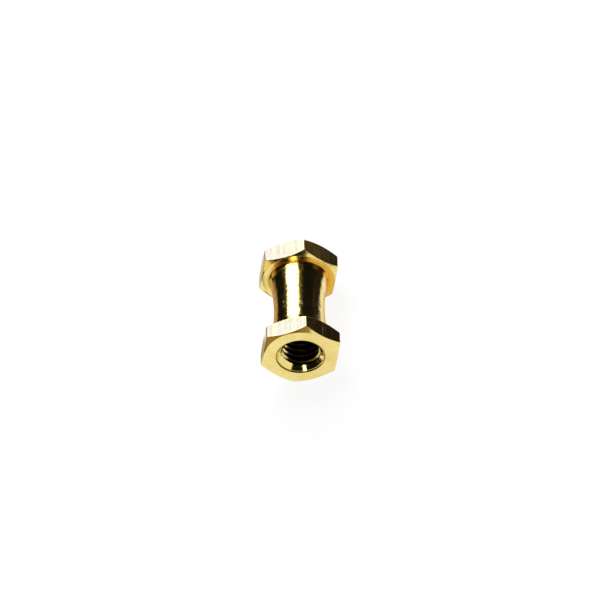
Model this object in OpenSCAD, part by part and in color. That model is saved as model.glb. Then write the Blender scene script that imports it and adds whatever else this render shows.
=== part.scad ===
// Thread adapter: a short brass stud turned from one length of hexagon bar.
// A chamfered hexagon head is left at each end, the waist between them is
// turned down to a shallow hourglass, and each end is drilled, countersunk
// and tapped for its own thread. The bores keep the size of the tapping
// drills, which is the size of the thread crests.
// The axis lies along Y with the large thread's mouth towards -Y, and the
// stud rests on the flats below it. The origin is on the axis at mid-length.

/* [Bar] */
// Width of the hexagon bar across its flats
hex_across_flats = 16; // [15:0.5:19]
// How far the bar's rounded corners stop short of sharp ones
corner_round = 0.05; // [0.03:0.01:0.2]
// Length from end face to end face
stud_length = 26.4; // [25:0.2:40]

/* [Heads] */
// Length of the hexagon head at each end
head_length = 4.4; // [3.4:0.2:5]
// Step from the flats in to the circle where each chamfer begins
chamfer_inset = 0.2; // [0.1:0.05:0.5]
// Slope of the chamfers, measured from the end face
chamfer_slope = 30; // [20:5:40]

/* [Waist] */
// Diameter of the waist at mid-length, where it is thinnest
waist_middle_d = 11; // [10.8:0.1:11.8]
// Diameter of the waist where it runs into the heads
waist_end_d = 12.8; // [12.2:0.1:13.2]
// Radius left by the tool's nose where the waist meets a head
waist_fillet_r = 0.25; // [0.15:0.05:0.6]

/* [Large thread] */
// Tapping drill for the large thread, 3/8 inch with 16 turns to the inch
large_bore_d = 7.94; // [7.5:0.01:8.4]
// Depth drilled at full diameter from the end face
large_bore_depth = 12; // [9:0.5:14]
// Diameter of the countersunk mouth on the end face
large_mouth_d = 10.5; // [9.5:0.1:11.5]

/* [Small thread] */
// Tapping drill for the small thread, 1/4 inch with 20 turns to the inch
small_bore_d = 5.1; // [4.8:0.01:5.6]
// Diameter of the countersunk mouth on the end face
small_mouth_d = 7.2; // [6.4:0.1:8.4]

/* [Cutting tools] */
// Included angle of the countersinks
countersink_angle = 90; // [80:5:120]
// Included angle of the drill point that ends the large bore
drill_point_angle = 118; // [110:1:140]

/* [Hidden] */
brass = [0.80, 0.62, 0.28];
// Facets of a turned circle, and of the long arc of the waist
$fn = 96;
long_arc_fn = 1440;
// Length by which a cutting solid runs past the face that it cuts
overrun = 1;

hex_corner_r = hex_across_flats / 2 / cos(30);
chamfer_r = hex_across_flats / 2 - chamfer_inset;
blank_r = hex_corner_r - corner_round;
half_length = stud_length / 2;
half_waist = half_length - head_length;
waist_middle_r = waist_middle_d / 2;
waist_end_r = waist_end_d / 2;

// The arc that passes through the thin middle and both ends of the waist
flare = waist_end_r - waist_middle_r;
waist_arc_r = (half_waist * half_waist + flare * flare) / (2 * flare);
waist_arc_centre = [waist_middle_r + waist_arc_r, 0];

// The fillet is tangent to that arc from inside and to the head's shoulder
fillet_z = half_waist - waist_fillet_r;
fillet_reach = waist_arc_r - waist_fillet_r;
fillet_x = waist_arc_centre.x - sqrt(fillet_reach * fillet_reach - fillet_z * fillet_z);
fillet_centre = [fillet_x, fillet_z];
arc_to_fillet = (fillet_centre - waist_arc_centre) / fillet_reach;
fillet_on_arc = waist_arc_centre + arc_to_fillet * waist_arc_r;

// Half section of a disc that reaches half_span each way along the axis, with
// the chamfers' slope on its rims: lean -1 cuts the rims off, 1 flares them out.
// The radius is along X and the stud's axis along Y.
module disc_section(half_span, reach, lean) {
    rim = half_span + lean * (reach - chamfer_r) * tan(chamfer_slope);
    polygon([
        [0, -half_span],
        [chamfer_r, -half_span],
        [reach, -rim],
        [reach, rim],
        [chamfer_r, half_span],
        [0, half_span]
    ]);
}

// Metal left in the corner between the waist and a shoulder by the fillet
module fillet_section() {
    difference() {
        polygon([
            fillet_centre,
            fillet_on_arc,
            [waist_end_r - waist_fillet_r, half_waist + waist_fillet_r],
            [fillet_centre.x, half_waist + waist_fillet_r]
        ]);
        translate(fillet_centre) circle(r = waist_fillet_r);
    }
}

// The groove that the form tool turns between the heads, with the chamfers
// of both shoulders on its rims
module groove_section() {
    difference() {
        intersection() {
            translate(waist_arc_centre) circle(r = waist_arc_r, $fn = long_arc_fn);
            disc_section(half_waist, blank_r + overrun, 1);
        }
        fillet_section();
        mirror([0, 1]) fillet_section();
    }
}

// Everything that the lathe leaves standing, out to the bar's rounded corners
module turned_blank() {
    rotate_extrude() {
        difference() {
            disc_section(half_length, blank_r, -1);
            groove_section();
        }
    }
}

module hexagon_bar() {
    cylinder(r = hex_corner_r, h = stud_length + 2 * overrun, center = true, $fn = 6);
}

// A cone that opens a bore's mouth, with the end face at z = 0 and the bore below
module countersink(mouth_d, bore_d) {
    slope = tan(countersink_angle / 2);
    sink = (mouth_d - bore_d) / 2 / slope;
    translate([0, 0, -sink])
        cylinder(d1 = bore_d, d2 = mouth_d + 2 * overrun * slope, h = sink + overrun);
}

// The large tapping bore from the end face at z = 0, down to its drill point
module large_bore() {
    point_depth = (large_bore_d - small_bore_d) / 2 / tan(drill_point_angle / 2);
    translate([0, 0, -large_bore_depth])
        cylinder(d = large_bore_d, h = large_bore_depth + overrun);
    translate([0, 0, -large_bore_depth - point_depth])
        cylinder(d1 = small_bore_d, d2 = large_bore_d, h = point_depth);
    countersink(large_mouth_d, large_bore_d);
}

// The small tapping bore, drilled right through the stud first
module small_bore() {
    cylinder(d = small_bore_d, h = stud_length + 2 * overrun, center = true);
    translate([0, 0, -half_length]) mirror([0, 0, 1]) countersink(small_mouth_d, small_bore_d);
}

module adapter_body() {
    color(brass)
        rotate([90, 0, 0])
            difference() {
                intersection() {
                    hexagon_bar();
                    turned_blank();
                }
                translate([0, 0, half_length]) large_bore();
                small_bore();
            }
}

adapter_body();
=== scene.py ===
from math import asin, atan2, ceil, cos, hypot, pi, radians, sin, sqrt, tan

import bmesh
import bpy
from mathutils import Matrix, Vector


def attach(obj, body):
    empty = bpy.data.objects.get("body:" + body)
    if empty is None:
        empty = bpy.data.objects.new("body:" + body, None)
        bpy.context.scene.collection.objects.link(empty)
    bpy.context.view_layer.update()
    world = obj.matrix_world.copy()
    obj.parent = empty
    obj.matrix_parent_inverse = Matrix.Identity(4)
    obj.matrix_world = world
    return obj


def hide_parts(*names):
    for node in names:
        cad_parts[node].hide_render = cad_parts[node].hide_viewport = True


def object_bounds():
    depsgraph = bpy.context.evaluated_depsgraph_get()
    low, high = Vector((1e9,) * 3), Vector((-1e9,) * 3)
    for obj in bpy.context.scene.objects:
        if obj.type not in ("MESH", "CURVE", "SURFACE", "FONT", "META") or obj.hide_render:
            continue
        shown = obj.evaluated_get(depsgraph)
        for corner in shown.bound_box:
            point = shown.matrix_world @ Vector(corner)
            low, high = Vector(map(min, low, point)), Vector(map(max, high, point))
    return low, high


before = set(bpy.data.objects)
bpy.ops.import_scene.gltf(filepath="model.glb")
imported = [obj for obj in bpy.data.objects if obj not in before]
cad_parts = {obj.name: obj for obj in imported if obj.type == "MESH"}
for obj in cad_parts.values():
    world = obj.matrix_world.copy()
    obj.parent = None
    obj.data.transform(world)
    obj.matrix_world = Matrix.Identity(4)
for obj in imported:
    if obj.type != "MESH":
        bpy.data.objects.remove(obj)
cad_low, cad_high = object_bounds()

# ---------------------------------------------------------------------------
# The camera
# A long lens a good way off, over the mouth of the large thread. It is rolled,
# so that the stud stands almost upright in the frame while it lies on a flat.
# ---------------------------------------------------------------------------
MM = 0.001
camera_azimuth = radians(22.2)
camera_elevation = radians(44.3)
camera_roll = radians(-31.8)
camera_distance = 1.25
frame_pixels = 608
pixels_per_mm = 4.628
stud_centre_px = (299.36, 310.62)

camera_back = Vector((
    sin(camera_azimuth) * cos(camera_elevation),
    -cos(camera_azimuth) * cos(camera_elevation),
    sin(camera_elevation),
))
camera_turn = camera_back.to_track_quat("Z", "Y").to_matrix()
camera_turn = camera_turn @ Matrix.Rotation(camera_roll, 3, "Z")
aim_right = (frame_pixels / 2 - stud_centre_px[0]) / pixels_per_mm * MM
aim_up = (stud_centre_px[1] - frame_pixels / 2) / pixels_per_mm * MM
camera_aim = camera_turn @ Vector((aim_right, aim_up, 0))
camera_place = Matrix.Translation(camera_aim + camera_back * camera_distance)

camera_data = bpy.data.cameras.new("camera")
camera_data.sensor_width = 36
camera_data.lens = pixels_per_mm / MM * camera_distance * camera_data.sensor_width / frame_pixels
camera_data.clip_start = 0.05
camera_data.clip_end = 20
camera = bpy.data.objects.new("camera", camera_data)
camera.matrix_world = camera_place @ camera_turn.to_4x4()
bpy.context.collection.objects.link(camera)
bpy.context.scene.camera = camera
bpy.context.scene.view_settings.view_transform = "Standard"

# ---------------------------------------------------------------------------
# The studio
# A white bench under a wide overhead softbox that hangs behind the stud, and a
# tall narrow lamp in front. Dark flags and a dark tent, out of the camera's
# sight, give the polished brass its black and brown bands.
# ---------------------------------------------------------------------------
BENCH_PAPER = (0.12, 0.12, 0.12, 1)
BENCH_GLOW = 0.90
ROOM_LIGHT = (0.42, 0.42, 0.42, 1)
WHITE = (1, 1, 1, 1)
floor_z = cad_low.z
bench_half = 3


def feed(socket, value):
    """Links an output to a socket, or writes a plain value on it."""
    if hasattr(value, "is_output"):
        socket.id_data.links.new(value, socket)
    else:
        socket.default_value = value


def add(tree, kind, inputs=(), **settings):
    """A node with its settings and its inputs, by number or name."""
    node = tree.nodes.new(kind)
    for name, value in settings.items():
        setattr(node, name, value)
    for name, value in dict(inputs).items():
        feed(node.inputs[name], value)
    return node


def calc(tree, kind, first, second=0.0, third=0.0):
    """The result of a sum on two or three values."""
    node = add(tree, "ShaderNodeMath", {0: first, 1: second, 2: third}, operation=kind)
    return node.outputs[0]


def ramp(tree, value, low, high, start=0.0, end=1.0):
    """A smooth step from start to end as the value goes from low to high."""
    node = add(tree, "ShaderNodeMapRange", {
        "Value": value, "From Min": low, "From Max": high, "To Min": start, "To Max": end,
    }, interpolation_type="SMOOTHSTEP")
    return node.outputs["Result"]


def fade(tree, value, low, high):
    """A smooth step down, from one to nothing."""
    return ramp(tree, value, low, high, 1, 0)


def blend(tree, share, first, second):
    """A colour between two colours."""
    node = add(tree, "ShaderNodeMix", data_type="RGBA")
    feed(node.inputs[0], share)
    feed(node.inputs[6], first)
    feed(node.inputs[7], second)
    return node.outputs[2]


def gap_to(tree, place, point):
    """How far a place is from a point."""
    node = add(tree, "ShaderNodeVectorMath", {0: place, 1: point}, operation="DISTANCE")
    return node.outputs["Value"]


def panel(name, corners, faces=((0, 1, 2, 3),)):
    """A flat piece of the studio with an empty material of its own."""
    mesh = bpy.data.meshes.new(name)
    mesh.from_pydata(corners, [], [tuple(face) for face in faces])
    piece = bpy.data.objects.new(name, mesh)
    bpy.context.collection.objects.link(piece)
    material = bpy.data.materials.new(name)
    material.use_nodes = True
    material.node_tree.nodes.clear()
    mesh.materials.append(material)
    return piece, material.node_tree


def level(half, height):
    """Corners of a level square over the origin."""
    return [
        (-half, -half, height), (half, -half, height), (half, half, height), (-half, half, height),
    ]


def metal_only(piece):
    """Leaves a panel to be seen in the metal's reflections alone."""
    piece.visible_camera = False
    piece.visible_diffuse = False
    piece.visible_transmission = False
    piece.visible_shadow = False


bench_top, tree = panel("bench_top", level(bench_half, floor_z))
paper = add(tree, "ShaderNodeBsdfDiffuse", {"Color": BENCH_PAPER})
glow = add(tree, "ShaderNodeEmission", {"Strength": BENCH_GLOW})
both = add(tree, "ShaderNodeAddShader", {0: paper.outputs[0], 1: glow.outputs[0]})
add(tree, "ShaderNodeOutputMaterial", {"Surface": both.outputs[0]})

# The room is white to the camera and in the metal, and plain to the bench.
world = bpy.data.worlds.new("room")
world.use_nodes = True
bpy.context.scene.world = world
tree = world.node_tree
tree.nodes.clear()
plain = add(tree, "ShaderNodeBackground", {"Color": ROOM_LIGHT})
white = add(tree, "ShaderNodeBackground", {"Strength": 1.0})
rays = add(tree, "ShaderNodeLightPath").outputs
shown = calc(tree, "MAXIMUM", rays["Is Camera Ray"], rays["Is Glossy Ray"])
shown = calc(tree, "MAXIMUM", shown, rays["Is Transmission Ray"])
seen = add(tree, "ShaderNodeMixShader", {0: shown, 1: plain.outputs[0], 2: white.outputs[0]})
add(tree, "ShaderNodeOutputWorld", {"Surface": seen.outputs[0]})


def hang_light(name, corners, radiance, colour=WHITE):
    """A glowing panel through its corner points, out of the camera's sight."""
    light, tree = panel(name, corners, (range(len(corners)),))
    shine = add(tree, "ShaderNodeEmission", {"Color": colour, "Strength": radiance})
    add(tree, "ShaderNodeOutputMaterial", {"Surface": shine.outputs[0]})
    light.visible_camera = False
    return light


rig_height = 0.60


def rigged(*points):
    """Corners of a level panel on the overhead rig, in shares of its height."""
    return [(x * rig_height, y * rig_height, rig_height) for x, y in points]


softbox = hang_light("softbox", rigged(
    (-0.34, 0.34), (0.32, 0.34), (0.27, 1.80), (-0.76, 1.80), (-0.52, 0.56),
), radiance=6.0)

# A blue gel on the part of the softbox that the upper flats mirror.
BLUE_GEL = (0.160, 0.192, 0.50, 1)
gel_middle = rigged((-0.386, 0.943))[0]
gel_clear, gel_edge = 0.22 * rig_height, 0.36 * rig_height
tree = softbox.data.materials[0].node_tree
gap = gap_to(tree, add(tree, "ShaderNodeTexCoord").outputs["Object"], gel_middle)
gel = blend(tree, ramp(tree, gap, gel_clear, gel_edge), BLUE_GEL, WHITE)
feed(tree.nodes["Emission"].inputs["Color"], gel)

# The softbox spills on to the rig's cloth beside it, more and more faintly.
softbox_spill = hang_light("softbox_spill", rigged(
    (0.33, 0.40), (0.50, 0.40), (0.45, 1.75), (0.28, 1.75),
), radiance=0.30, colour=(1.0, 0.93, 0.62, 1))
outer_spill = hang_light("outer_spill", rigged(
    (0.51, 0.40), (0.80, 0.40), (0.72, 1.75), (0.46, 1.75),
), radiance=0.07, colour=(1.0, 0.90, 0.62, 1))
left_spill = hang_light("left_spill", rigged(
    (-0.56, 0.60), (-0.78, 1.75), (-1.10, 1.75), (-0.80, 0.50),
), radiance=0.10, colour=(1.0, 0.84, 0.55, 1))

# A bright card overhead, and the tall lamp with its brighter foot.
overhead_card = hang_light("overhead_card", rigged(
    (-0.12, -0.08), (0.31, -0.08), (0.32, 0.33), (-0.30, 0.33),
), radiance=4.0)
metal_only(overhead_card)
strip_lamp = hang_light("strip_lamp", [
    (-0.22, -1.60, 1.16), (0.19, -1.60, 1.16), (0.17, -1.45, 1.45), (-0.19, -1.45, 1.45),
], radiance=4.0)
strip_foot = hang_light("strip_foot", [
    (-0.27, -1.80, 0.76), (0.23, -1.80, 0.76), (0.19, -1.60, 1.16), (-0.22, -1.60, 1.16),
], radiance=7.5)
metal_only(strip_foot)

# Small cards close to the stud: a white one to the right of the mouth, a black
# one for the far head's upper chamfer, and a cream one for its left corner.
side_card = hang_light("side_card", [
    (0.009, -0.035, floor_z + 0.0003), (0.030, -0.012, floor_z + 0.0003),
    (0.150, -0.070, 0.024), (0.050, -0.150, 0.030),
], radiance=1.0)
metal_only(side_card)
black_flag = hang_light("black_flag", [
    (-0.020, -0.0165, 0.0092), (0.022, -0.0165, 0.0092),
    (0.022, -0.0165, 0.0148), (-0.020, -0.0165, 0.0148),
], radiance=0.004)
metal_only(black_flag)
corner_card = hang_light("corner_card", [
    (-0.0165, -0.0068, 0.0010), (-0.0245, -0.0005, 0.0010),
    (-0.0245, -0.0005, 0.0090), (-0.0165, -0.0068, 0.0090),
], radiance=1.0, colour=(1.0, 0.88, 0.66, 1))
metal_only(corner_card)

# Flags on the bench: they leave a lit patch round the stud, brown to the left
# of it and far in front, dark elsewhere, and a warm painted shadow under the
# stud itself, where the stud shades the bench and its brass lights it.
DARK = (0.017, 0.012, 0.012, 1)
BROWN = (0.34, 0.225, 0.10, 1)
TAN = (0.58, 0.37, 0.20, 1)
OLIVE = (0.42, 0.37, 0.20, 1)
PALE_OLIVE = (0.64, 0.60, 0.38, 1)
GREY = (0.062, 0.056, 0.060, 1)
DUN = (0.22, 0.15, 0.09, 1)
# Painted shadow under the stud: bench shaded by it and lit warm by its brass
PAINTED_SHADOW_WARM = (0.84, 0.58, 0.20, 1)
flag_half = 2
flag_z = floor_z + 0.02 * MM
flags, tree = panel("flags", level(flag_half, flag_z))
place = add(tree, "ShaderNodeTexCoord").outputs["Object"]
axes = add(tree, "ShaderNodeSeparateXYZ", {0: place})
across, along = axes.outputs[0], axes.outputs[1]


def joined(tree, kind, *masks):
    """Masks put together: MULTIPLY where all lie, MAXIMUM where any lies."""
    result = masks[0]
    for mask in masks[1:]:
        result = calc(tree, kind, result, mask)
    return result


def between(tree, value, rise, drop):
    """One between two soft edges, each with its start and end."""
    return joined(tree, "MULTIPLY", ramp(tree, value, *rise), fade(tree, value, *drop))


def round_patch(x, y, inner, outer):
    """One inside a circle on the bench, nothing outside it."""
    return fade(tree, gap_to(tree, place, (x, y, flag_z)), inner, outer)


lit = joined(
    tree, "MAXIMUM",
    round_patch(-0.006, -0.020, 0.027, 0.031),
    joined(tree, "MULTIPLY", between(tree, across, (-0.007, -0.003), (0.0148, 0.0168)),
           between(tree, along, (-0.060, -0.035), (0.020, 0.034))),
    round_patch(-0.018, 0.016, 0.014, 0.018),
)

# The tan band runs off to the left at a slant.
band_slope, band_foot, band_scale = 0.78, 0.004, 0.79
slant = calc(tree, "SUBTRACT", calc(tree, "MULTIPLY_ADD", across, band_slope, along), band_foot)
slant = calc(tree, "ABSOLUTE", calc(tree, "MULTIPLY", slant, band_scale))
left_band = joined(tree, "MULTIPLY", fade(tree, slant, 0.0046, 0.0062),
                   between(tree, across, (-0.20, -0.08), (-0.0075, -0.006)))
front_far = ramp(tree, along, -0.030, -0.060)
olive = round_patch(-0.0164, -0.0005, 0.0045, 0.0060)
pale_olive = round_patch(-0.0164, 0.0250, 0.0045, 0.0065)

# Away behind to the right, two streaks of the dark bench are a little lighter.
streak_cos, streak_sin, streak_foot = 0.746, 0.665, 0.0042
away = calc(tree, "MULTIPLY_ADD", across, streak_cos, calc(tree, "MULTIPLY", along, streak_sin))
aside = calc(tree, "MULTIPLY_ADD", along, streak_cos, calc(tree, "MULTIPLY", across, -streak_sin))
aside = calc(tree, "ABSOLUTE", calc(tree, "SUBTRACT", aside, streak_foot))
grey_streak = joined(tree, "MULTIPLY", fade(tree, aside, 0.0008, 0.0028),
                     between(tree, away, (0.085, 0.100), (0.128, 0.138)))
dun_streak = joined(tree, "MULTIPLY", fade(tree, aside, 0.0030, 0.0060),
                    ramp(tree, away, 0.146, 0.150))

# The warm painted shadow lies under the stud, and reaches out below the far head.
beside = joined(tree, "MULTIPLY", ramp(tree, across, 0.002, 0.004),
                between(tree, along, (0.004, 0.006), (0.0088, 0.0104)))
under = joined(tree, "MAXIMUM", between(tree, along, (-0.0135, -0.0085), (0.005, 0.0078)), beside)
under = joined(tree, "MULTIPLY", under, fade(tree, calc(tree, "ABSOLUTE", across), 0.0072, 0.0094))

colour = DARK
for patch, dyed in (
    (left_band, TAN), (front_far, BROWN), (olive, OLIVE), (pale_olive, PALE_OLIVE),
    (grey_streak, GREY), (dun_streak, DUN), (under, PAINTED_SHADOW_WARM),
):
    colour = blend(tree, patch, colour, dyed)
unlit = calc(tree, "SUBTRACT", 1.0, lit)
cover = joined(tree, "MAXIMUM", unlit, left_band, under, olive, pale_olive)
dye = add(tree, "ShaderNodeEmission", {"Color": colour})
clear = add(tree, "ShaderNodeBsdfTransparent")
cloth = add(tree, "ShaderNodeMixShader", {0: cover, 1: clear.outputs[0], 2: dye.outputs[0]})
add(tree, "ShaderNodeOutputMaterial", {"Surface": cloth.outputs[0]})
metal_only(flags)

# The tent: dark all round, with a low warm band of furniture in front.
TENT_DARK = (0.007, 0.0065, 0.006, 1)
tent_r = 2.6
rings, sides = 12, 32
corners, walls = [], []
for ring in range(rings):
    rise = ring * pi / 2 / rings
    foot, head = ring * sides, (ring + 1) * sides
    for side in range(sides):
        turn = side * 2 * pi / sides
        corners.append((
            tent_r * cos(turn) * cos(rise), tent_r * sin(turn) * cos(rise),
            floor_z + tent_r * sin(rise),
        ))
        beyond = (side + 1) % sides
        if ring + 1 < rings:
            walls.append((foot + side, foot + beyond, head + beyond, head + side))
        else:
            walls.append((foot + side, foot + beyond, head))
corners.append((0, 0, floor_z + tent_r))
tent, tree = panel("tent", corners, walls)
way = add(tree, "ShaderNodeSeparateXYZ", {0: add(tree, "ShaderNodeTexCoord").outputs["Object"]})
low_band = joined(tree, "MULTIPLY", fade(tree, way.outputs[2], 0.14 * tent_r, 0.30 * tent_r),
                  ramp(tree, way.outputs[1], -0.35 * tent_r, -0.60 * tent_r))
dye = add(tree, "ShaderNodeEmission", {"Color": blend(tree, low_band, TENT_DARK, BROWN)})
add(tree, "ShaderNodeOutputMaterial", {"Surface": dye.outputs[0]})
metal_only(tent)

# ---------------------------------------------------------------------------
# The bar and what the lathe leaves of it
# The stud is one length of drawn hexagon bar. Both heads keep the bar's flats,
# with a chamfer on each edge, and the hourglass waist is turned between them.
# ---------------------------------------------------------------------------
FLAT = 8.0 * MM
CORNER_ROUND = 0.323 * MM
HALF_LENGTH = 13.2 * MM
HALF_WAIST = 8.8 * MM
CHAMFER_R = 7.8 * MM
CHAMFER_SLOPE = tan(radians(30))
WAIST_MIDDLE_R = 5.5 * MM
WAIST_END_R = 6.4 * MM
FILLET_R = 0.25 * MM
EDGE_R = 0.13 * MM
LARGE_MOUTH_R = 5.25 * MM
SMALL_MOUTH_R = 3.6 * MM
# The small step round each mouth, and the break on its rim
STEP_DEPTH = 0.25 * MM
STEP_WIDTH = 0.08 * MM
RIM_R = 0.03 * MM
# Rows this close to a corner keep the shading of the face beside it true
GUARD = 0.03 * MM
# Points closer than this are one point
SAME_POINT = 0.0003 * MM

sector = radians(60)
corner_steps = 6
flat_steps = 24
waist_steps = 56
fillet_steps = 8
corner_centre = (FLAT - CORNER_ROUND) / cos(sector / 2)


def bar_outline():
    """Angle and radius of each column round the bar, corners rounded."""
    columns = []
    for corner in range(6):
        for step in range(corner_steps + 1):
            lean = sector * (step / corner_steps - 0.5)
            along = corner_centre + CORNER_ROUND * cos(lean)
            across = CORNER_ROUND * sin(lean)
            columns.append((corner * sector + atan2(across, along), hypot(along, across)))
        half_face = (FLAT - CORNER_ROUND) * tan(sector / 2)
        for step in range(1, flat_steps):
            across = half_face * (2 * step / flat_steps - 1)
            columns.append(((corner + 0.5) * sector + atan2(across, FLAT), hypot(across, FLAT)))
    return columns


def corner_arc(before, corner, after, radius, steps):
    """Points of an arc of that radius, tangent to both sides of a corner."""
    to_before = (Vector(before) - Vector(corner)).normalized()
    to_after = (Vector(after) - Vector(corner)).normalized()
    half_angle = to_before.angle(to_after) / 2
    middle = (to_before + to_after).normalized()
    centre = Vector(corner) + middle * (radius / sin(half_angle))
    start = Vector(corner) + to_before * (radius / tan(half_angle)) - centre
    end = Vector(corner) + to_after * (radius / tan(half_angle)) - centre
    return [
        tuple(centre + (start.lerp(end, step / steps)).normalized() * radius)
        for step in range(steps + 1)
    ]


def spaced(start, end, parts):
    """Points between two ends, with a guard point just inside each of them."""
    start, end = Vector(start), Vector(end)
    near = min(GUARD / (end - start).length, 0.25)
    stops = [near + (1 - 2 * near) * step / parts for step in range(parts + 1)]
    return [tuple(start.lerp(end, stop)) for stop in stops]


# The waist's long arc, and the fillet tangent to it and to the shoulder.
waist_flare = WAIST_END_R - WAIST_MIDDLE_R
waist_arc_r = (HALF_WAIST ** 2 + waist_flare ** 2) / (2 * waist_flare)
waist_arc_x = WAIST_MIDDLE_R + waist_arc_r
fillet_along = HALF_WAIST - FILLET_R
fillet_x = waist_arc_x - sqrt((waist_arc_r - FILLET_R) ** 2 - fillet_along ** 2)
fillet_turn = asin(fillet_along / (waist_arc_r - FILLET_R))

UNWORN, HALF_WORN, WORN = 0, 0.6, 1


def head_rows(radius, mouth_r):
    """One head's section at a column, from the countersink to the end of its
    fillet. Each point is (radius, distance from mid-length, worn)."""
    drop = (radius - CHAMFER_R) * CHAMFER_SLOPE
    wall_r = mouth_r + STEP_WIDTH
    mouth = (wall_r, HALF_LENGTH)
    step_foot = (wall_r, HALF_LENGTH - STEP_DEPTH)
    end_edge = (CHAMFER_R, HALF_LENGTH)
    outer_edge = (radius, HALF_LENGTH - drop)
    inner_edge = (radius, HALF_WAIST + drop)
    shoulder_edge = (CHAMFER_R, HALF_WAIST)
    foot = (fillet_x, HALF_WAIST)
    fillet = []
    for step in range(fillet_steps + 1):
        swing = pi / 2 + (pi / 2 - fillet_turn) * step / fillet_steps
        fillet.append((fillet_x + FILLET_R * cos(swing), fillet_along + FILLET_R * sin(swing)))
    # Each broken edge, with the number of rows on the face that follows it
    edges = [
        (corner_arc(step_foot, mouth, end_edge, RIM_R, 3), 6),
        (corner_arc(mouth, end_edge, outer_edge, EDGE_R, 3), 2),
        (corner_arc(end_edge, outer_edge, inner_edge, EDGE_R, 4), 5),
        (corner_arc(outer_edge, inner_edge, shoulder_edge, EDGE_R, 4), 2),
        (corner_arc(inner_edge, shoulder_edge, foot, EDGE_R, 3), 3),
    ]
    starts = [arc[0] for arc, _ in edges[1:]] + [fillet[0]]
    rows = [(mouth_r - STEP_DEPTH, HALF_LENGTH - STEP_DEPTH, UNWORN), step_foot + (UNWORN,)]
    rows += [(wall_r, HALF_LENGTH - STEP_DEPTH * share, UNWORN) for share in (0.9, 0.3)]
    for (arc, parts), after in zip(edges, starts):
        rows += [point + (WORN,) for point in arc]
        rows += [point + (UNWORN,) for point in spaced(arc[-1], after, parts)]
    rows += [point + (HALF_WORN,) for point in fillet]
    return rows


def waist_rows():
    """The hourglass between the two fillets, in the same form."""
    rows = []
    for step in range(1, waist_steps):
        swing = fillet_turn * (1 - 2 * step / waist_steps)
        rows.append((waist_arc_x - waist_arc_r * cos(swing), waist_arc_r * sin(swing), UNWORN))
    return rows


verts, worn, faces = [], [], []


def add_strip(angle, section, first=None):
    """Adds one column's points, and gives their numbers. A point that repeats
    the one before it shares its number, and worn marks a broken edge."""
    numbers = []
    last = None
    for radius, along, edge in section:
        if first is not None and last is None:
            numbers.append(first)
        elif last is None or hypot(radius - last[0], along - last[1]) > SAME_POINT:
            verts.append((radius * cos(angle), along, radius * sin(angle)))
            worn.append(edge)
            numbers.append(len(verts) - 1)
        else:
            numbers.append(numbers[-1])
            continue
        last = (radius, along)
    return numbers


def skin(left, right, creases=()):
    """Faces between two columns of the same length, none of them empty. Where
    a crease crosses a face, the face is split along it."""
    for row in range(len(left) - 1):
        corners = (left[row], left[row + 1], right[row + 1], right[row])
        ring = []
        for number in corners:
            if number not in ring:
                ring.append(number)
        if len(ring) < 3:
            continue
        if len(ring) == 4 and corners[0] in creases and corners[2] in creases:
            faces.append((ring[0], ring[1], ring[2]))
            faces.append((ring[0], ring[2], ring[3]))
        elif len(ring) == 4 and corners[1] in creases and corners[3] in creases:
            faces.append((ring[0], ring[1], ring[3]))
            faces.append((ring[1], ring[2], ring[3]))
        else:
            faces.append(ring)


def skin_round(strips):
    """Faces between each column and the next, all the way round."""
    for number, strip in enumerate(strips):
        skin(strip, strips[(number + 1) % len(strips)])


columns = bar_outline()
outside = []
for angle, radius in columns:
    section = head_rows(radius, LARGE_MOUTH_R) + waist_rows()
    section = [(point_r, -along, edge) for point_r, along, edge in section]
    section += list(reversed(head_rows(radius, SMALL_MOUTH_R)))
    outside.append(add_strip(angle, section))
skin_round(outside)
outside_faces = len(faces)

# ---------------------------------------------------------------------------
# The two tapped bores
# A 3/8-16 thread and a 1/4-20 thread, both right-handed with a 60 degree form.
# Each starts in a 90 degree countersink and runs out where the tap tapered.
# ---------------------------------------------------------------------------
INCH = 25.4 * MM
THREAD_FLANK = tan(radians(30))
CREST_BREAK = 0.05 * MM
ROOT_ROUND = 0.07 * MM
# Half the flat at a thread's root, in shares of its pitch
ROOT_HALF = 1 / 16
# Depths from the end face: full thread down to TAP_FULL, run out by TAP_END,
# plain bore from PLAIN on, and the drill point's cone from DEPTH on. Lead is
# where the thread starts, in shares of a turn.
LARGE_PITCH = INCH / 16
LARGE_CREST_R = 3.97 * MM
LARGE_MAJOR_R = 4.7625 * MM
LARGE_TAP_FULL = 10.2 * MM
LARGE_TAP_END = 11.2 * MM
LARGE_PLAIN = 11.6 * MM
LARGE_DEPTH = 12 * MM
LARGE_LEAD = 0.235
SMALL_PITCH = INCH / 20
SMALL_CREST_R = 2.55 * MM
SMALL_MAJOR_R = 3.175 * MM
SMALL_TAP_FULL = 9.6 * MM
SMALL_TAP_END = 10.5 * MM
SMALL_PLAIN = 10.8 * MM
SMALL_LEAD = 0
# The drill point's slope, and how far along it the guard rows lie
DRILL_POINT = tan(radians(59))
CONE_GUARD = 0.018 * MM


def thread_form(pitch, crest_r, major_r):
    """One turn of the thread, as (share of the pitch, radius, worn), from the
    middle of a crest. The root is full round, the crest slightly broken."""
    height = major_r - crest_r
    flank = height * THREAD_FLANK / pitch
    crest_half = 0.5 - ROOT_HALF - flank
    crest = (crest_half * pitch, crest_r)
    root_foot = (crest_half * pitch + flank * pitch, major_r)
    break_arc = corner_arc((0, crest_r), crest, root_foot, CREST_BREAK, 2)
    root_arc = corner_arc(crest, root_foot, (0.5 * pitch, major_r), ROOT_ROUND, 2)
    flank_rows = spaced(break_arc[-1], root_arc[0], 1)
    half = [(0, crest_r, UNWORN)] + [point + (WORN,) for point in break_arc]
    half += [point + (UNWORN,) for point in flank_rows + root_arc]
    form = [(place / pitch, radius, edge) for place, radius, edge in half]
    form += [(1 - share, radius, edge) for share, radius, edge in reversed(form[1:])]
    return form


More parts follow.
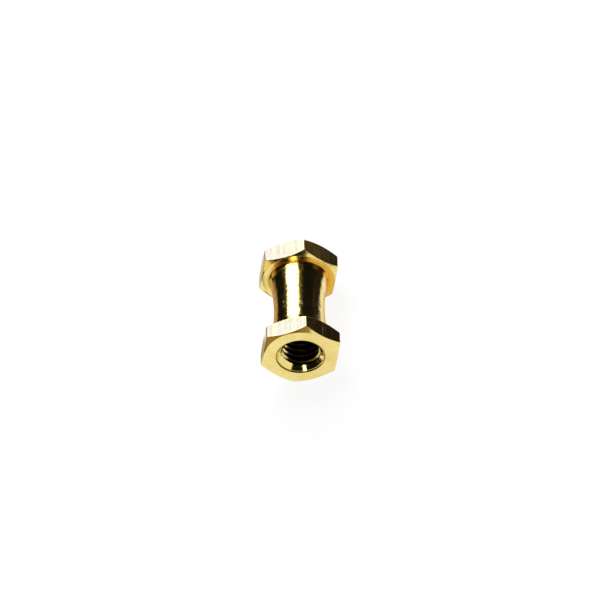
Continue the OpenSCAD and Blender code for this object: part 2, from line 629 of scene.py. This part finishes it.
def thread_points(form, turns, start, pitch, crest_r, major_r, tap_full, tap_end):
    """The thread's section at a column, as (depth, radius, worn). Start is the
    place of its first turn, in shares of a turn."""
    points = []
    for turn in range(turns):
        for share, radius, edge in form:
            depth = (turn + share + start) * pitch
            taper = major_r - (depth - tap_full) / (tap_end - tap_full) * (major_r - crest_r)
            points.append((depth, max(crest_r, min(radius, taper)), edge))
    return points


def countersink(points, mouth_r):
    """Cuts a thread's first turns away along its countersink. A row beside the
    thread slides to the crease where the two forms meet, and is listed."""
    swallowed = [radius < mouth_r - depth for depth, radius, _ in points]
    cut, crossed = [], []
    for row, (depth, radius, edge) in enumerate(points):
        other = None
        if swallowed[row]:
            edge = UNWORN
            if row + 1 < len(points) and not swallowed[row + 1]:
                other = points[row + 1]
            elif row > 0 and not swallowed[row - 1]:
                other = points[row - 1]
            else:
                radius = mouth_r - depth
        if other:
            under = mouth_r - depth - radius
            over = other[1] - (mouth_r - other[0])
            share = under / (under + over)
            depth += (other[0] - depth) * share
            radius += (other[1] - radius) * share
            crossed.append(row)
        cut.append((depth, radius, edge))
    return cut, crossed


def thread_strips(pitch, crest_r, major_r, mouth_r, tap_full, tap_end, end, lead, way, firsts):
    """The tapped bore from its countersink to its plain end, one strip a
    column. Depth is measured from the end face, and way is the mouth's side."""
    form = thread_form(pitch, crest_r, major_r)
    turns = ceil(end / pitch) + 3
    strips, creases = [], set()
    for (angle, _), first in zip(columns, firsts):
        # Right-handed at both ends: it sinks by one pitch in a turn.
        turned_by = angle / (2 * pi)
        start = lead - 1 + (-turned_by if way < 0 else turned_by - 1)
        points = thread_points(form, turns, start, pitch, crest_r, major_r, tap_full, tap_end)
        points, crossed = countersink(points, mouth_r)
        section = []
        for depth, radius, edge in points:
            if depth < STEP_DEPTH:
                depth, radius = STEP_DEPTH, mouth_r - STEP_DEPTH
            if depth > end:
                depth, radius = end, crest_r
            section.append((radius, way * (HALF_LENGTH - depth), edge))
        strip = add_strip(angle, section, first)
        creases.update(strip[row] for row in crossed)
        strips.append(strip)
    # The last column meets the first one turn further on.
    per_turn = len(form)
    for number, strip in enumerate(strips):
        if number + 1 < len(strips):
            beside = strips[number + 1]
        elif way < 0:
            beside = [strips[0][0]] * per_turn + strips[0][:-per_turn]
        else:
            beside = strips[0][per_turn:] + [strips[0][-1]] * per_turn
        skin(strip, beside, creases)
    return [strip[-1] for strip in strips]


large_ends = thread_strips(
    LARGE_PITCH, LARGE_CREST_R, LARGE_MAJOR_R, LARGE_MOUTH_R,
    tap_full=LARGE_TAP_FULL, tap_end=LARGE_TAP_END, end=LARGE_PLAIN, lead=LARGE_LEAD,
    way=-1, firsts=[column[0] for column in outside],
)
small_ends = thread_strips(
    SMALL_PITCH, SMALL_CREST_R, SMALL_MAJOR_R, SMALL_MOUTH_R,
    tap_full=SMALL_TAP_FULL, tap_end=SMALL_TAP_END, end=SMALL_PLAIN, lead=SMALL_LEAD,
    way=1, firsts=[column[-1] for column in outside],
)

# The drill point's cone between the bores, and the plain end of the small one.
cone_start = LARGE_DEPTH - HALF_LENGTH
cone_end = cone_start + (LARGE_CREST_R - SMALL_CREST_R) / DRILL_POINT
cone_rows = [
    (LARGE_CREST_R, LARGE_PLAIN - HALF_LENGTH), (LARGE_CREST_R, cone_start - GUARD),
    (LARGE_CREST_R, cone_start), (LARGE_CREST_R - GUARD, cone_start + CONE_GUARD),
    (SMALL_CREST_R + GUARD, cone_end - CONE_GUARD), (SMALL_CREST_R, cone_end),
    (SMALL_CREST_R, cone_end + GUARD),
]
between_bores = []
for (angle, _), large_end, small_end in zip(columns, large_ends, small_ends):
    section = [row + (UNWORN,) for row in cone_rows]
    between_bores.append(add_strip(angle, section, large_end) + [small_end])
skin_round(between_bores)

# ---------------------------------------------------------------------------
# The finishes
# Free-cutting brass, as it leaves the machine: faced and chamfered ends, a
# turned waist, the bar's own drawn flats, and tapped threads. Painted shade
# darkens the threads and the step round each mouth, and painted reflection
# deepens the orange where the waist meets the shoulders.
# ---------------------------------------------------------------------------
BRASS = (0.885, 0.73, 0.275, 1)
BRASS_DEEP = (0.84, 0.66, 0.225, 1)
# How deep a handling speck is, in mm
SPECK_DEPTH = 0.006
# How the marks drift as they run round the axis, along x, y and z
RING_DRIFT = (0.6, 0.6, 0.9)
# How many waves of chatter a mm of the waist shows along x, y and z
CHATTER = (0.95, 1.5, 0.95)


def open_group(name, inputs, outputs):
    """An empty node group with its sockets, and its inputs to draw on."""
    group = bpy.data.node_groups.new(name, "ShaderNodeTree")
    for label, kind in inputs:
        group.interface.new_socket(name=label, in_out="INPUT", socket_type=kind)
    for label in outputs:
        group.interface.new_socket(name=label, in_out="OUTPUT", socket_type="NodeSocketFloat")
    return group, group.nodes.new("NodeGroupInput").outputs


def noise(tree, place, scale, detail, roughness):
    """Soft noise between nothing and one."""
    return add(tree, "ShaderNodeTexNoise", {
        "Vector": place, "Scale": scale, "Detail": detail, "Roughness": roughness,
    }).outputs[0]


def centred(tree, value, amount, base=0.0):
    """Noise turned into a height to either side of a base."""
    return calc(tree, "MULTIPLY_ADD", calc(tree, "SUBTRACT", value, 0.5), amount, base)


# Marks that run one way over bright metal: turning rings, drawn grain or a
# tap's scores. Place is the position in mm, already stretched along them.
tool_marks, given = open_group("tool_marks", (
    ("Place", "NodeSocketVector"), ("Coarse", "NodeSocketFloat"), ("Fine", "NodeSocketFloat"),
), ("Height", "Streak"))
place = given["Place"]
height = centred(tool_marks, noise(tool_marks, place, 1.0, 1.5, 0.5), given["Coarse"])
height = centred(tool_marks, noise(tool_marks, place, 4.7, 2.0, 0.6), given["Fine"], height)
streak = ramp(tool_marks, noise(tool_marks, place, 0.6, 4.0, 0.65), 0.42, 0.66)
add(tool_marks, "NodeGroupOutput", {"Height": height, "Streak": streak})

# Specks and soft clouds that handling leaves. Place is in mm.
handling, given = open_group("handling", (("Place", "NodeSocketVector"),), ("Speck", "Cloud"))
place = given["Place"]
cells = add(handling, "ShaderNodeTexVoronoi", {"Vector": place, "Scale": 1.1, "Randomness": 1.0})
chosen = add(handling, "ShaderNodeSeparateColor", {0: cells.outputs["Color"]}).outputs[0]
speck = joined(handling, "MULTIPLY", fade(handling, cells.outputs["Distance"], 0.07, 0.15),
               ramp(handling, chosen, 0.45, 0.60))
cloud = ramp(handling, noise(handling, place, 0.42, 5.0, 0.6), 0.35, 0.65)
add(handling, "NodeGroupOutput", {"Speck": speck, "Cloud": cloud})


def vector(tree, kind, first, second=(0, 0, 0), third=(0, 0, 0)):
    """The result of a sum on one to three vectors."""
    node = add(tree, "ShaderNodeVectorMath", {0: first, 1: second, 2: third}, operation=kind)
    return node.outputs["Vector"]


def round_axis(tree, place):
    """The spoke from the stud's axis to a place, its length, and x, y and z."""
    parts = add(tree, "ShaderNodeSeparateXYZ", {0: place}).outputs
    spoke = add(tree, "ShaderNodeCombineXYZ", {0: parts[0], 2: parts[2]}).outputs[0]
    radius = add(tree, "ShaderNodeVectorMath", {0: spoke}, operation="LENGTH").outputs["Value"]
    return spoke, radius, parts


def along_marks(tree, place, stretch):
    """A place stretched along the marks that a tool leaves there."""
    if len(stretch) == 3:
        return vector(tree, "MULTIPLY", place, stretch)
    spoke, radius, parts = round_axis(tree, place)
    rings = add(tree, "ShaderNodeCombineXYZ", {
        0: calc(tree, "MULTIPLY", radius, stretch[0]),
        1: calc(tree, "MULTIPLY", parts[1], stretch[1]),
    }).outputs[0]
    return vector(tree, "MULTIPLY_ADD", vector(tree, "NORMALIZE", spoke), RING_DRIFT, rings)


def brass_finish(name, stretch, coarse, fine, smooth, dull, knocks=(), ripple=0.0):
    """Bright brass with marks stretched along one direction. Stretch is how
    many marks a mm shows along x, y, z, or along radius and y for a ring.
    Smooth and dull are the roughness of clean and of marked metal, knocks are
    (x, y, z, size, depth) in mm, and ripple is the height of the chatter."""
    material = bpy.data.materials.new(name)
    material.use_nodes = True
    tree = material.node_tree
    shader = tree.nodes["Principled BSDF"]
    shader.inputs["Metallic"].default_value = 1.0
    metres = add(tree, "ShaderNodeTexCoord").outputs["Object"]
    place = add(tree, "ShaderNodeVectorMath", {0: metres, 3: 1 / MM}, operation="SCALE").outputs[0]
    marks = add(tree, "ShaderNodeGroup", node_tree=tool_marks)
    feed(marks.inputs["Place"], along_marks(tree, place, stretch))
    marks.inputs["Coarse"].default_value = coarse
    marks.inputs["Fine"].default_value = fine
    touched = add(tree, "ShaderNodeGroup", node_tree=handling)
    feed(touched.inputs["Place"], place)
    broken = add(tree, "ShaderNodeAttribute", attribute_name="worn").outputs["Fac"]

    height = calc(tree, "MULTIPLY_ADD", touched.outputs["Speck"], -SPECK_DEPTH,
                  marks.outputs["Height"])
    if ripple:
        waves = noise(tree, vector(tree, "MULTIPLY", place, CHATTER), 1.0, 0.4, 0.5)
        height = centred(tree, waves, ripple, height)
    for x, y, z, size, depth in knocks:
        knock = fade(tree, gap_to(tree, place, (x, y, z)), 0.0, size)
        height = calc(tree, "MULTIPLY_ADD", knock, -depth, height)
    bump = add(tree, "ShaderNodeBump", {"Strength": 1.0, "Distance": MM, "Height": height})
    feed(shader.inputs["Normal"], bump.outputs[0])

    cloud = touched.outputs["Cloud"]
    dulled = joined(tree, "MULTIPLY", marks.outputs["Streak"], cloud)
    dulled = joined(tree, "MAXIMUM", dulled, broken)
    feed(shader.inputs["Roughness"], ramp(tree, dulled, 0, 1, smooth, dull))
    feed(shader.inputs["Base Color"], blend(tree, cloud, BRASS, BRASS_DEEP))
    return material, place


def lay_over(material, share, colour):
    """Lays a colour over a finish, by a share that changes over the surface."""
    tree = material.node_tree
    base = tree.nodes["Principled BSDF"].inputs["Base Color"]
    feed(base, blend(tree, share, base.links[0].from_socket, colour))


# Painted shade: a dark ring in the small step round each countersink's mouth,
# fainter towards the bottom. Painted reflection: a deeper orange on the shoulders round the waist.
PAINTED_STEP_SHADE = (0.36, 0.26, 0.045, 1)
PAINTED_SHOULDER_REFLECTION = (0.80, 0.60, 0.17, 1)
large_step_shade_r, small_step_shade_r = 5.19, 3.54
faced, place = brass_finish(
    "faced_brass", stretch=(3.2, 0.2), coarse=0.012, fine=0.0025, smooth=0.13, dull=0.26)
tree = faced.node_tree
_, radius, parts = round_axis(tree, place)
step_shade_r = ramp(tree, parts[1], -1, 1, large_step_shade_r, small_step_shade_r)
from_step_shade = calc(tree, "ABSOLUTE", calc(tree, "SUBTRACT", radius, step_shade_r))
# Painted shade in the step, fainter towards the bottom
step_shade = joined(tree, "MULTIPLY", fade(tree, from_step_shade, 0.14, 0.19),
               ramp(tree, parts[2], -4.2, -2.8, 0.35, 1))
# Painted reflection: the deeper orange of brass mirrored in brass, where shoulder meets waist
painted_shoulder_reflection = joined(tree, "MULTIPLY", fade(tree, radius, 6.7, 7.4),
                fade(tree, calc(tree, "ABSOLUTE", parts[1]), 9.0, 9.2))
lay_over(faced, step_shade, PAINTED_STEP_SHADE)
lay_over(faced, painted_shoulder_reflection, PAINTED_SHOULDER_REFLECTION)

# The countersinks are cut smoother, and the drawn flats have a long dull grain.
countersunk, _ = brass_finish(
    "countersunk_brass", stretch=(3.2, 0.2), coarse=0.006, fine=0.0015, smooth=0.07, dull=0.18)
drawn, _ = brass_finish(
    "drawn_brass", stretch=(2.8, 0.12, 2.8), coarse=0.016, fine=0.004, smooth=0.12, dull=0.40)

# The waist has two small knocks, and a painted reflection, deeper orange, where it meets a head.
WAIST_KNOCKS = [(-1.40, -1.24, 5.37, 0.30, 0.05), (4.2, -6.3, 4.15, 0.2, 0.03)]
PAINTED_WAIST_REFLECTION = (0.79, 0.46, 0.10, 1)
turned, place = brass_finish(
    "turned_brass", stretch=(0.1, 2.2), coarse=0.060, fine=0.012, smooth=0.11, dull=0.24,
    knocks=WAIST_KNOCKS, ripple=0.055)
tree = turned.node_tree
along = add(tree, "ShaderNodeSeparateXYZ", {0: place}).outputs[1]
# Painted reflection: deeper orange towards each end of the waist, by the shoulders
lay_over(turned, ramp(tree, calc(tree, "ABSOLUTE", along), 7.0, 8.5), PAINTED_WAIST_REFLECTION)

# Painted shade darkens the thread below its first turn: its roots, its
# lower and upper walls, and all of it further in.
PAINTED_BORE_SHADE = (0.032, 0.021, 0.009, 1)
tapped, place = brass_finish(
    "tapped_brass", stretch=(0.5, 6.0), coarse=0.003, fine=0.001, smooth=0.16, dull=0.30)
tree = tapped.node_tree
_, radius, parts = round_axis(tree, place)
depth = calc(tree, "SUBTRACT", HALF_LENGTH / MM, calc(tree, "ABSOLUTE", parts[1]))
from_middle = calc(tree, "ABSOLUTE", calc(tree, "ADD", parts[2], 0.2))
# Painted shade on the bore's upper and lower walls, past its first turn
walls = joined(tree, "MULTIPLY", ramp(tree, from_middle, 1.0, 1.9), ramp(tree, depth, 1.5, 2.2))
shaded_roots = joined(tree, "MULTIPLY", ramp(tree, radius, 4.2, 4.45), ramp(tree, depth, 0.9, 1.5))
lay_over(tapped, joined(tree, "MAXIMUM", walls, shaded_roots, ramp(tree, depth, 5.5, 8.5)), PAINTED_BORE_SHADE)

# ---------------------------------------------------------------------------
# The stud itself
# It is a single solid piece of brass, and nothing is fitted to it. Its skin is
# closed, and each face has the finish of the tool that cut it.
# ---------------------------------------------------------------------------
# How far a face may be off its countersink or in from a shoulder, and how far
# a flat's face may lean along the axis
CONE_SLACK = 0.006 * MM
SHOULDER_SLACK = 0.001 * MM
FLAT_LEAN = 0.2
SMOOTH_UP_TO = radians(38)
FACED, COUNTERSUNK, TURNED, DRAWN, TAPPED = range(5)


def tool_of(number, middle, normal):
    """Which tool cut a face, from the face's number, its middle and normal."""
    radius = hypot(middle.x, middle.z)
    depth = HALF_LENGTH - abs(middle.y)
    if number >= outside_faces:
        mouth_r = LARGE_MOUTH_R if middle.y < 0 else SMALL_MOUTH_R
        return COUNTERSUNK if abs(radius - (mouth_r - depth)) < CONE_SLACK else TAPPED
    if radius > CHAMFER_R and abs(normal.y) < FLAT_LEAN:
        return DRAWN
    if abs(middle.y) < HALF_WAIST - SHOULDER_SLACK:
        return TURNED
    return FACED


mesh = bpy.data.meshes.new("adapter_body_skin")
mesh.from_pydata(verts, [], faces)
for material in (faced, countersunk, turned, drawn, tapped):
    mesh.materials.append(material)
wear = mesh.attributes.new("worn", "FLOAT", "POINT")
wear.data.foreach_set("value", worn)
for number, face in enumerate(mesh.polygons):
    points = [mesh.vertices[corner].co for corner in face.vertices]
    middle = sum(points, Vector()) / len(points)
    face.material_index = tool_of(number, middle, face.normal)

skin_form = bmesh.new()
skin_form.from_mesh(mesh)
bmesh.ops.recalc_face_normals(skin_form, faces=skin_form.faces)
if skin_form.calc_volume(signed=True) < 0:
    bmesh.ops.reverse_faces(skin_form, faces=skin_form.faces)
skin_form.to_mesh(mesh)
skin_form.free()
mesh.shade_smooth()
mesh.set_sharp_from_angle(angle=SMOOTH_UP_TO)
stud = bpy.data.objects.new("adapter_body_skin", mesh)
bpy.context.collection.objects.link(stud)
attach(stud, "root")
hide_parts("adapter_body")
